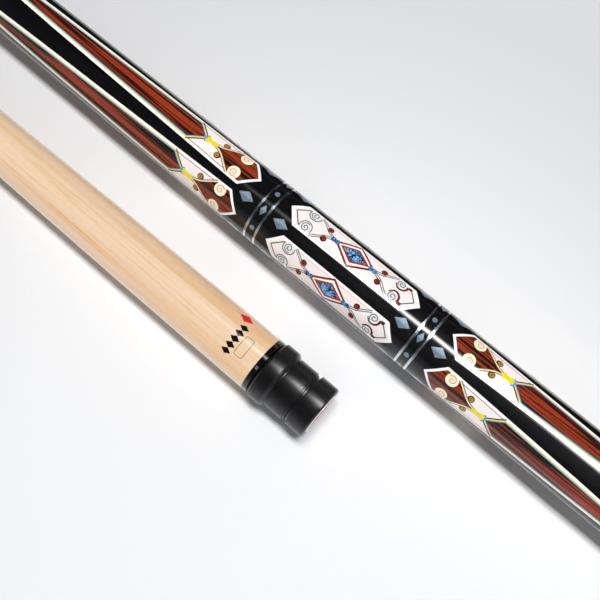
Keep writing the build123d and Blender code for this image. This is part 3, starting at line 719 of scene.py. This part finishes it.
FERRULE_START, PAD_START, TIP_START, TIP_EDGE = 714.5, 729.5, 730.5, 735.1
wood = [(SHAFT_COLLAR_END, INSERT_RADIUS)]
wood += [(s, float(shaft_radius(s))) for s in np.linspace(SHAFT_COLLAR_END, 560, 60)]
wood += [(FERRULE_START, TIP_RADIUS), (FERRULE_START, 0), (34, 0), (34, INSERT_RADIUS)]
turned_piece("shaft_wood", SHAFT, wood, maple)
ferrule = [(FERRULE_START, 4.0), (FERRULE_START, TIP_RADIUS - 0.04), (FERRULE_START + 0.15, TIP_RADIUS)]
ferrule += [(PAD_START, TIP_RADIUS), (PAD_START, 4.0)]
turned_piece("ferrule", SHAFT, ferrule, ferrule_white)
pad = [(PAD_START, 0), (PAD_START, TIP_RADIUS), (TIP_START, TIP_RADIUS), (TIP_START, 0)]
turned_piece("tip_pad", SHAFT, pad, fibre)
dome = STICK_LENGTH - TIP_EDGE
dome_radius = (TIP_RADIUS**2 + dome**2) / (2 * dome)
tip = [(TIP_START, 0), (TIP_START, TIP_RADIUS - 0.05), (TIP_START + 0.4, TIP_RADIUS)]
dome_middle = STICK_LENGTH - dome_radius
tip += [(dome_middle + math.sqrt(dome_radius**2 - r * r), r) for r in np.linspace(TIP_RADIUS, 0, 14)]
turned_piece("cue_tip", SHAFT, tip, leather, "domed")

# ---- fixed fasteners inside the butt
for node in ("section_screws", "weight_bolt"):
    mesh = frame["nodes"][node].data
    mesh.materials.clear()
    mesh.materials.append(steel)

# ---- small silver pieces
def diamond(shape, spot, half_length, half_height, layer, rise):
    """A four-faceted diamond whose ridge stands a little proud of its edge, its two halves in a lit and a shaded
    copy of one silver: painted light and shade.
    """
    count = 7
    # The half on the side of increasing angle takes the lit copy, the other half the shaded copy: painted light
    # and shade.
    for sign, slot in ((1, 0), (-1, 1)):
        x = np.linspace(-half_length, half_length, 2 * count + 1)
        edge = half_height * (1 - np.abs(x) / half_length)
        share = np.linspace(0, 1, 4)
        y = sign * edge[:, None] * share
        height = lift(layer) + rise * (edge[:, None] / half_height) * (1 - share)
        xs = np.repeat(x[:, None], 4, axis=1)
        shape.slab(spot.place(xs, y, height), spot.place(xs, y, -INLAY_DEPTH), slot)


# Lit and shaded copies of one silver for the diamonds: painted light and shade.
LIT_AND_SHADED_FACET_SLOTS = [pale_silver_and_painted_lit, dark_silver_and_painted_shade]
large = Shape()
before_rings = [s - DIAMOND_OFFSET for s in RING_STATIONS]
after_rings = [s + RING_SPACING + DIAMOND_OFFSET for s in RING_STATIONS[:3]]
for station in before_rings + after_rings:
    for spot in facet_spots(station, DIAMOND_ANGLE):
        diamond(large, spot, 3.2, 2.05, 0, 0.07)
FLAT = 1.0                         # degrees under which two faces of a faceted piece are one
large.stand_for("silver_diamonds", "faceted", *LIT_AND_SHADED_FACET_SLOTS, sharp=FLAT)
small, dots = Shape(), Shape()
for station in RING_STATIONS:
    for spot in facet_spots(station + RING_SPACING / 2, DIAMOND_ANGLE):
        diamond(small, spot, 1.2, 2.05, 0, 0.05)
    for spot in facet_spots(station + RING_SPACING / 2, PANEL_ANGLE):
        disc(dots, spot, 0, 0, 0.95, 0)
small.stand_for("ring_diamonds", "faceted", *LIT_AND_SHADED_FACET_SLOTS, sharp=FLAT)
dots.stand_for("ring_dots", "inlaid", dark_silver_and_painted_shade)

DASH_STATION, DASH_OFFSET, DASH_LIFT, DASH_DEPTH = 1.0, 0.325, 0.012, 0.5
DASH_HALF_LENGTH, DASH_HALF_WIDTH = 0.55, 0.13
for stick, node in ((BUTT, "joint_collar_dashes"), (SHAFT, "shaft_collar_dashes")):
    dashes = Shape()
    top = DASH_LIFT + JOINT_RADIUS - float(stick.radius(DASH_STATION))
    for spot in facet_spots(DASH_STATION, DIAMOND_ANGLE, stick=stick):
        for middle in (-DASH_OFFSET, DASH_OFFSET):
            across = middle + DASH_HALF_WIDTH * np.array([-1.0, 0.0, 1.0])
            x, y = np.meshgrid([-DASH_HALF_LENGTH, DASH_HALF_LENGTH], across, indexing="ij")
            dashes.slab(spot.place(x, y, top), spot.place(x, y, DASH_LIFT - DASH_DEPTH))
    dashes.stand_for(node, "inlaid", pale_silver_and_painted_lit)

# ---- window panels
WINDOW_HALF, WINDOW_SHOULDER, WINDOW_HEIGHT = 28.1, 23.4, 5.5
WHITE_EDGE = 0.95


def hexagon(half, shoulder, height, inset=0.0):
    """Stations and half heights of a window panel, drawn in by an inset."""
    slope = height / (half - shoulder)
    tip = half - inset * math.sqrt(1 + slope * slope) / slope
    top = height - inset
    knee = tip - top / slope
    rear, middle = np.linspace(-tip, -knee, 7), np.linspace(-knee, knee, 40)[1:-1]
    xs = np.concatenate([rear, middle, np.linspace(knee, tip, 7)])
    return xs, np.minimum(top, slope * (tip - np.abs(xs)))


panels, frames, gems, beads, scrolls, lines = (Shape() for _ in range(6))
LINE_SLOTS = [grey_pearl, brown_line, pink_line, red_brown, dark_line, white_veneer, pearl]
GREY, BROWN, PINK, RED, DARK, WHITE, PALE = range(7)
# Lozenges by half length and half height, the outlines also by layer and material.
DIAMOND_OUTLINES = ((8.7, 5.25, 3, DARK), (8.05, 4.9, 4, RED), (7.2, 4.4, 5, WHITE))
DIAMOND_FRAME, DIAMOND_GEM = (6.25, 3.35), (4.75, 2.5)
BEAD_STATIONS, BEAD_RIM, BEAD_RADIUS = (9.25, 7.65, -6.95, -8.45), 0.95, 0.76
# Discs under the spirals: x, y and radius. Lines wound on and round them: x, y, outer and inner radius,
# start in degrees, turns, sense, width, layer and material.
WINDOW_DISCS = ((19.4, 3.15, 2.0), (-18.5, 3.1, 1.95))
WINDOW_SPIRALS = (
    (19.4, 3.15, (1.75, 0.3), -120, 1.6, 1, 0.34, 5, GREY),
    (19.4, 3.15, (2.35, 2.35), 25, 0.62, -1, 0.36, 5, GREY),
    (-18.5, 3.1, (1.7, 0.3), -60, 1.6, 1, 0.34, 5, GREY),
    (-18.5, 3.1, (2.2, 2.2), -20, 0.5, -1, 0.4, 5, DARK),
    (-18.5, 3.1, (2.35, 2.35), -60, 0.36, -1, np.linspace(0.5, 0.9, 40), 4, RED),
)
WINDOW_LINKS = (
    [(16.9, 4.7), (14.2, 2.9), (12.0, 1.2), (9.9, 0.45)],
    [(-16.6, 4.6), (-13.9, 2.8), (-11.6, 1.2), (-9.3, 0.45)],
)
window_centres = [(RING_STATIONS[k] + RING_SPACING + RING_STATIONS[k + 1]) / 2 for k in (0, 2)]
for centre in window_centres:
    for spot in facet_spots(centre, PANEL_ANGLE, forwards=True):
        xs, half = hexagon(WINDOW_HALF, WINDOW_SHOULDER, WINDOW_HEIGHT)
        patch(panels, spot, xs, -half, half, 0, 0, 0.6)
        xs, half = hexagon(WINDOW_HALF, WINDOW_SHOULDER, WINDOW_HEIGHT, WHITE_EDGE)
        patch(panels, spot, xs, -half, half, 1, 1, 0.6)
        for outline in DIAMOND_OUTLINES:
            lozenge(lines, spot, *outline, step=0.8)
        lozenge(frames, spot, *DIAMOND_FRAME, 6)
        lozenge(gems, spot, *DIAMOND_GEM, 7)
        for x in BEAD_STATIONS:
            disc(lines, spot, x, 0, BEAD_RIM, 8, DARK)
            disc(beads, spot, x, 0, BEAD_RADIUS, 9)
        for side in (1, -1):
            # Thin pink line along each long side, and the grey arrowhead in each end.
            stroke(lines, spot, [(x, side * 4.4) for x in np.linspace(-16, 16, 12)], 0.22, 2, PINK)
            stroke(lines, spot, [(25.75, side * -0.05), (21.9, side * 4.0)], 0.42, 3, GREY)
            stroke(lines, spot, [(-25.5, side * -0.05), (-22.5, side * 3.2)], 0.42, 3, GREY)
            for x, y, radius in WINDOW_DISCS:
                disc(scrolls, spot, x, side * y, radius, 4)
            for x, y, radii, start, turns, flip, width, layer, slot in WINDOW_SPIRALS:
                path = spiral(x, side * y, *radii, start * side, turns, flip=flip * side)
                stroke(lines, spot, path, width, layer, slot)
            xs = np.array([-22.5, -20.9])
            patch(lines, spot, xs, np.full(2, side * 3.7 - 0.6), np.full(2, side * 3.7 + 0.6), 4, BROWN)
            # Double lines from the beads to the spirals, and the curls beside them.
            for points in WINDOW_LINKS:
                path = curve(np.array(points) * (1, side))
                stroke(lines, spot, path, 1.0, 3, GREY)
                stroke(lines, spot, path, 0.36, 4, PALE)
            for x, turn in ((12.15, 1), (-11.45, -1)):
                disc(lines, spot, x, side * 2.35, 1.15, 5, DARK)
                path = spiral(x, side * 2.35, 0.92, 0.12, 90 * turn - 90, 1.2, flip=-side * turn)
                stroke(lines, spot, path, 0.42, 6, RED)
panels.stand_for("window_panels", "inlaid", white_veneer, ivory)
frames.stand_for("window_diamond_frames", "inlaid", red_brown)
gems.stand_for("turquoise_diamonds", "inlaid", turquoise)
beads.stand_for("turquoise_beads", "inlaid", turquoise)
scrolls.stand_for("window_scrolls", "inlaid", pearl)
lines.make("window_linework", LINE_SLOTS, "butt", "inlay_silver")

# ---- long points
FOREARM_HEAD = RING_STATIONS[0] - 5.3
HANDLE_HEAD = RING_STATIONS[1] + RING_SPACING + 5.3
# Half width in mm of arc at distances from the tip of the head.
FOREARM_EDGE = [(0, 0), (5.8, 6.4), (29.7, 5.78), (54.7, 5.08), (74.7, 4.5), (94.7, 3.94), (114.7, 3.19),
                (199.7, 0)]
HANDLE_EDGE = [(0, 0), (5.8, 6.53), (31.1, 5.71), (58.1, 4.75), (166.4, 0)]
YELLOW_EDGE, BLUE_EDGE, DARK_EDGE = 0.45, 0.36, 0.2
FIELD_REACH, KITE_REACH, WOOD_START = (11, 32), (1.3, 20.8), 25


def long_edge(edge, inset, xs):
    """Half width of a long point at each x, drawn in by an inset."""
    limits = []
    for (x0, y0), (x1, y1) in zip(edge, edge[1:]):
        slope = (y1 - y0) / (x1 - x0)
        limits.append(y0 + slope * (xs - x0) - inset * math.sqrt(1 + slope * slope))
    return np.min(limits, axis=0)


def long_patch(shape, spot, edge, inset, start, end, layer, slot=0, head=None):
    """An inlay that fills a long point between two distances, inside an inset and an optional line."""
    corners = [x for x, _ in edge if start < x < end]
    head_xs, all_xs = np.linspace(start, min(end, start + 14), 50), np.linspace(start, end, 70)
    xs = np.unique(np.concatenate([head_xs, all_xs, corners]))
    half = long_edge(edge, inset, xs)
    if head is not None:
        half = np.minimum(half, head(xs))
    keep = half > 1e-6
    first, last = np.argmax(keep), len(keep) - np.argmax(keep[::-1])
    xs, half = xs[max(0, first - 1): last + 1], np.maximum(half[max(0, first - 1): last + 1], 0)
    patch(shape, spot, xs, -half, half, layer, slot, 0.55)


KNOT = [(20.3, 0.4), (20.9, 0.85), (21.5, 1.08), (22.2, 0.85), (22.9, 0.7), (23.6, 0.9), (24.2, 1.22),
        (24.8, 1.28), (25.2, 0.9)]
FRONT_CROSS = [(11.6, 5.55), (13.6, 4.15), (16.1, 2.35), (18.5, 0.95), (20.8, 0.3)]
REAR_CROSS = [(25.2, 0.45), (31.1, 5.1)]


def front_line(xs):
    points = curve(FRONT_CROSS, 40)
    return np.interp(xs, points[:, 0], points[:, 1], left=99, right=0)


def rear_line(shift):
    (x0, y0), (x1, y1) = REAR_CROSS
    return lambda xs: y0 + (xs - x0 - shift) * (y1 - y0) / (x1 - x0)


fields, kites, knots, scrolls, curls = (Shape() for _ in range(5))
CURL_SLOTS = [brown_line, gold_line, pale_line, rose_line, pink_line, blue_veneer]
C_BROWN, C_GOLD, C_PALE, C_ROSE, C_PINK, C_BLUE = range(6)
for stem, head, edge in (("forearm", FOREARM_HEAD, FOREARM_EDGE), ("handle", HANDLE_HEAD, HANDLE_EDGE)):
    white, yellow, blue, wood = (Shape() for _ in range(4))
    length = edge[-1][0]
    for spot in facet_spots(head, PANEL_ANGLE, forwards=stem == "forearm"):
        long_patch(white, spot, edge, 0, 0, length, 0)
        long_patch(fields, spot, edge, WHITE_EDGE, *FIELD_REACH, 1)
        long_patch(kites, spot, edge, WHITE_EDGE, *KITE_REACH, 2, head=front_line)
        # The veneers and the wood, each inside the one before: layer, edge width and shift of its head.
        inset = WHITE_EDGE
        for shape, slot, layer, band, shift in (
            (yellow, 0, 3, YELLOW_EDGE, 0.3), (blue, 0, 4, BLUE_EDGE, 0.95), (wood, 1, 5, DARK_EDGE, 1.5),
            (wood, 0, 6, 0, 1.75),
        ):
            long_patch(shape, spot, edge, inset, WOOD_START, length, layer, slot, head=rear_line(shift))
            inset += band
        xs, half = np.array(KNOT).T
        patch(knots, spot, xs, -half, half, 9)
        for side in (1, -1):
            disc(scrolls, spot, 9.4, side * 3.75, 2.35, 6)
            path = spiral(9.4, side * 3.75, 1.65, 0.2, 150 * side, 1.45, flip=-side)
            stroke(curls, spot, path, np.linspace(0.5, 0.3, 40), 7, C_PINK)
            front = curve(FRONT_CROSS, 20) * (1, side)
            stroke(curls, spot, front, 1.05, 3, C_BROWN)
            stroke(curls, spot, front, 0.5, 5, C_PALE)
            rear = np.array(REAR_CROSS) * (1, side)
            stroke(curls, spot, rear + (-0.18, 0), 0.42, 7, C_BROWN)
            xs = np.linspace(12.6, 30.2, 14)
            line = side * (long_edge(edge, WHITE_EDGE, xs) - 0.22)
            stroke(curls, spot, np.stack([xs, line], axis=1), 0.24, 2, C_ROSE)
            disc(curls, spot, 18.0, side * 2.75, 1.3, 4, C_BROWN)
            path = spiral(18.0, side * 2.75, 0.95, 0.12, -90 * side, 1.35, flip=side)
            stroke(curls, spot, path, 0.34, 6, C_GOLD)
            path = np.array([(24.7, side * 1.5), (25.3, side * 1.1), (25.55, side * 0.5), (25.6, 0)])
            stroke(curls, spot, path, 0.55, 8, C_BLUE)
    white.stand_for(f"{stem}_white_edges", "inlaid", white_veneer)
    yellow.stand_for(f"{stem}_yellow_veneers", "inlaid", yellow_veneer)
    blue.stand_for(f"{stem}_blue_veneers", "inlaid", blue_veneer)
    wood.stand_for(f"{stem}_points", "inlaid", cocobolo, dark_line)
fields.stand_for("ivory_fields", "inlaid", ivory)
kites.stand_for("rosewood_kites", "inlaid", cocobolo)
knots.stand_for("yellow_knots", "inlaid", yellow_resin)
scrolls.stand_for("cream_scrolls", "inlaid", cream_resin)
curls.make("point_linework", CURL_SLOTS, "butt", "yellow_resin")

# ---- plain marks on the shaft
marks = Shape()
for degrees in (-28, -14.5, -1, 12.5, 26):
    lozenge(marks, Spot(SHAFT, 13.0, degrees), 1.95, 1.2, 0, 0, count=13)
lozenge(marks, Spot(SHAFT, 15.0, 48), 2.9, 2.1, 0, 1, count=13)
FRAME_HALF_LENGTH, FRAME_HALF_HEIGHT, FRAME_CORNER, FRAME_LINE = 1.1, 3.2, 0.6, 0.16
outline = []
for first, sx, sy in ((0, 1, 1), (90, -1, 1), (180, -1, -1), (270, 1, -1)):
    for turn in np.radians([first, first + 30, first + 60, first + 90]):
        outline.append((sx * FRAME_HALF_LENGTH + FRAME_CORNER * math.cos(turn),
                        sy * FRAME_HALF_HEIGHT + FRAME_CORNER * math.sin(turn)))
stroke(marks, Spot(SHAFT, 8.7, -2.5), outline, FRAME_LINE, 0, 0, closed=True)
marks.make("shaft_marks", [black_ink, red_ink], "shaft", "maple")

# ---- floor, light and camera
def sheet(name, material, corners, height):
    """A flat sheet between two corners, in metres."""
    (x0, y0), (x1, y1) = corners
    mesh = bpy.data.meshes.new(name)
    points = [(x, y, height) for x, y in ((x0, y0), (x1, y0), (x1, y1), (x0, y1))]
    mesh.from_pydata(points, [], [(0, 1, 2, 3)])
    mesh.materials.append(material)
    sheet_object = bpy.data.objects.new(name, mesh)
    bpy.context.scene.collection.objects.link(sheet_object)
    return sheet_object


def seen_only_in_gloss(thing):
    """Keeps a light or a flag out of the picture and out of the shadows."""
    thing.visible_camera = thing.visible_diffuse = thing.visible_shadow = False
    thing.visible_transmission = thing.visible_volume_scatter = False


surface = Finish("table_white", Specular_IOR_Level=0.2)
cloud = surface.noise(surface.place, 3.0, 2.0)
pale = surface.ramp(cloud, [(0.3, rgb(253, 253, 255)), (0.7, rgb(254, 254, 255))])
# Painted light: the floor's colour is darkened away from a centre near the sticks, a painted pool of light with
# painted shade around it.
PAINTED_LIGHT_POOL_CENTRE = (-0.076, -0.170, 0.0)
PAINTED_LIGHT_POOL = (   # painted pool of light: metres from the centre, tone of the painted light and shade, and the blue added to it
    (0.0, 0.915, 0.0), (0.10, 0.885, 0.0), (0.14, 0.855, 0.0), (0.165, 0.80, 0.0), (0.195, 0.75, 0.005),
    (0.22, 0.72, 0.005), (0.35, 0.70, 0.005), (0.9, 0.79, 0.01),
)
TABLE_HALF = 4.0
offsets = {0: surface.place, 1: PAINTED_LIGHT_POOL_CENTRE}
from_painted_pool_centre = surface.node("ShaderNodeVectorMath", offsets, operation="SUBTRACT")
reach = surface.node("ShaderNodeVectorMath", {0: from_painted_pool_centre.outputs["Vector"]}, operation="LENGTH")
stops = [(at, (tone, tone, tone + blue)) for at, tone, blue in PAINTED_LIGHT_POOL]
painted_pool_tone = surface.ramp(reach.outputs["Value"], stops)
# The painted pool of light and shade is multiplied into the floor's colour.
surface.put("Base Color", surface.mixed(1.0, pale, painted_pool_tone, "MULTIPLY"))
surface.put("Roughness", surface.range(cloud, 0.3, 0.7, 0.5, 0.6))
table_corners = ((-TABLE_HALF, -TABLE_HALF), (TABLE_HALF, TABLE_HALF))
table_object = sheet("table_top", surface.material, table_corners, 0.0)

# A black flag beside the butt, and a long strip light over the sticks, both seen only as reflections.
flag_finish = Finish("flag_black", Base_Color=(0.002, 0.002, 0.002, 1), Specular_IOR_Level=0.0)
FLAG_HEIGHT = 0.0005
seen_only_in_gloss(sheet("flag", flag_finish.material, ((0.058, -1.0), (1.0, 1.0)), FLAG_HEIGHT))


def strip_material(name, radiance, across, along):
    """Light that fades across a sheet and towards its near end, by stops in metres."""
    material = bpy.data.materials.new(name)
    tree = Tree(material)
    tree.nodes.clear()
    place = tree.node("ShaderNodeNewGeometry").outputs["Position"]
    split = tree.node("ShaderNodeSeparateXYZ", {0: place})
    strength = radiance
    for axis, stops in (("X", across), ("Y", along)):
        low, high = stops[0][0], stops[-1][0]
        share = tree.range(split.outputs[axis], low, high, 0.0, 1.0)
        shade = tree.ramp(share, [((at - low) / (high - low), grey(value)) for at, value in stops])
        strength = tree.node("ShaderNodeMath", {0: strength, 1: shade}, operation="MULTIPLY").outputs[0]
    glow = tree.node("ShaderNodeEmission", {"Strength": strength})
    tree.node("ShaderNodeOutputMaterial", {"Surface": glow.outputs[0]})
    return material


STRIP_HEIGHT, STRIP_MIDDLE, STRIP_HALF, STRIP_RADIANCE = 0.186, 0.048, 0.034, 32.0
strip_fade = ((-STRIP_HALF, 0), (-0.018, 0.2), (-0.006, 1), (0.006, 1), (0.018, 0.2), (STRIP_HALF, 0))
strip_across = [(STRIP_MIDDLE + dx, value) for dx, value in strip_fade]
strip_along = [(-0.42, 1), (-0.155, 1), (-0.13, 0.6), (-0.10, 0.22), (-0.07, 0.07), (-0.03, 0.02), (0, 0)]
strip_corners = [(strip_across[k][0], strip_along[k][0]) for k in (0, -1)]
strip_glow = strip_material("strip_glow", STRIP_RADIANCE, strip_across, strip_along)
seen_only_in_gloss(sheet("strip_light", strip_glow, strip_corners, STRIP_HEIGHT))


def sky(value):
    """A faintly blue grey."""
    return (value, value * 1.01, value * 1.06)


world = bpy.data.worlds.new("studio")
bpy.context.scene.world = world
tree = Tree(world)
split = tree.node("ShaderNodeSeparateXYZ", {0: tree.node("ShaderNodeTexCoord").outputs["Generated"]})
by_height = tree.ramp(split.outputs["Z"], [(0.0, sky(0.5)), (0.5, sky(0.04))])
half_turn = tree.range(split.outputs["X"], -1.0, 1.0, 0.0, 1.0)
by_side = tree.ramp(half_turn, [(0.3, sky(1.0)), (0.6, sky(0.08))])
tree.links.new(tree.mixed(1.0, by_height, by_side, "MULTIPLY"), tree.nodes["Background"].inputs["Color"])


def area_light(name, place, width, length, radiance, receivers=None):
    """A soft light of an even radiance, its length along Y, aimed straight across at the sticks."""
    data = bpy.data.lights.new(name, "AREA")
    data.shape = "RECTANGLE"
    data.size, data.size_y = width, length
    data.energy = radiance * width * length * math.pi
    light = bpy.data.objects.new(name, data)
    ahead = (Vector((0, place[1], 0)) - Vector(place)).normalized()
    side = Vector((0, 1, 0)).cross(-ahead).normalized()
    turn = Matrix((side, (-ahead).cross(side), -ahead)).transposed().to_4x4()
    light.matrix_world = Matrix.Translation(place) @ turn
    light.visible_glossy = False
    if receivers:
        light.light_linking.receiver_collection = receivers
    bpy.context.scene.collection.objects.link(light)
    return light


MIDDLE_Y = -0.20
table_only, off_the_table = (bpy.data.collections.new(name) for name in ("table_only", "off_the_table"))
for receivers in (table_only, off_the_table):
    receivers.objects.link(table_object)
area_light("key", (0.72, MIDDLE_Y, 4.64), 0.75, 2.2, 41.0)
area_light("fill_left", (-0.62, MIDDLE_Y, 0.36), 0.5, 0.9, 1.6, off_the_table)
area_light("fill_right", (0.62, MIDDLE_Y, 0.36), 0.5, 0.9, 0.95, off_the_table)
off_the_table.collection_objects[0].light_linking.link_state = "EXCLUDE"
shadow_fill = area_light("shadow_fill", (-0.9, MIDDLE_Y, 1.2), 1.5, 2.2, 0.34, table_only)
shadow_fill.data.color = (0.90, 1.0, 1.04)

CAMERA_PLACE = Vector((-0.050835, -0.168271, 0.312310))
CAMERA_HEADING, CAMERA_DROP = math.radians(49.683), math.radians(77.009)
FOCAL_PIXELS, FRAME_PIXELS, SENSOR = 879.83, 600, 36.0
ahead = Vector((math.cos(CAMERA_DROP) * math.sin(CAMERA_HEADING),
                math.cos(CAMERA_DROP) * math.cos(CAMERA_HEADING), -math.sin(CAMERA_DROP)))
right = Vector((math.cos(CAMERA_HEADING), -math.sin(CAMERA_HEADING), 0))
camera_data = bpy.data.cameras.new("camera")
camera_data.sensor_width, camera_data.lens = SENSOR, SENSOR * FOCAL_PIXELS / FRAME_PIXELS
camera_data.clip_start = 0.01
camera = bpy.data.objects.new("camera", camera_data)
camera_turn = Matrix((right, right.cross(ahead), -ahead)).transposed().to_4x4()
camera.matrix_world = Matrix.Translation(CAMERA_PLACE) @ camera_turn
bpy.context.scene.collection.objects.link(camera)
bpy.context.scene.camera = camera
bpy.context.scene.view_settings.view_transform = "Standard"
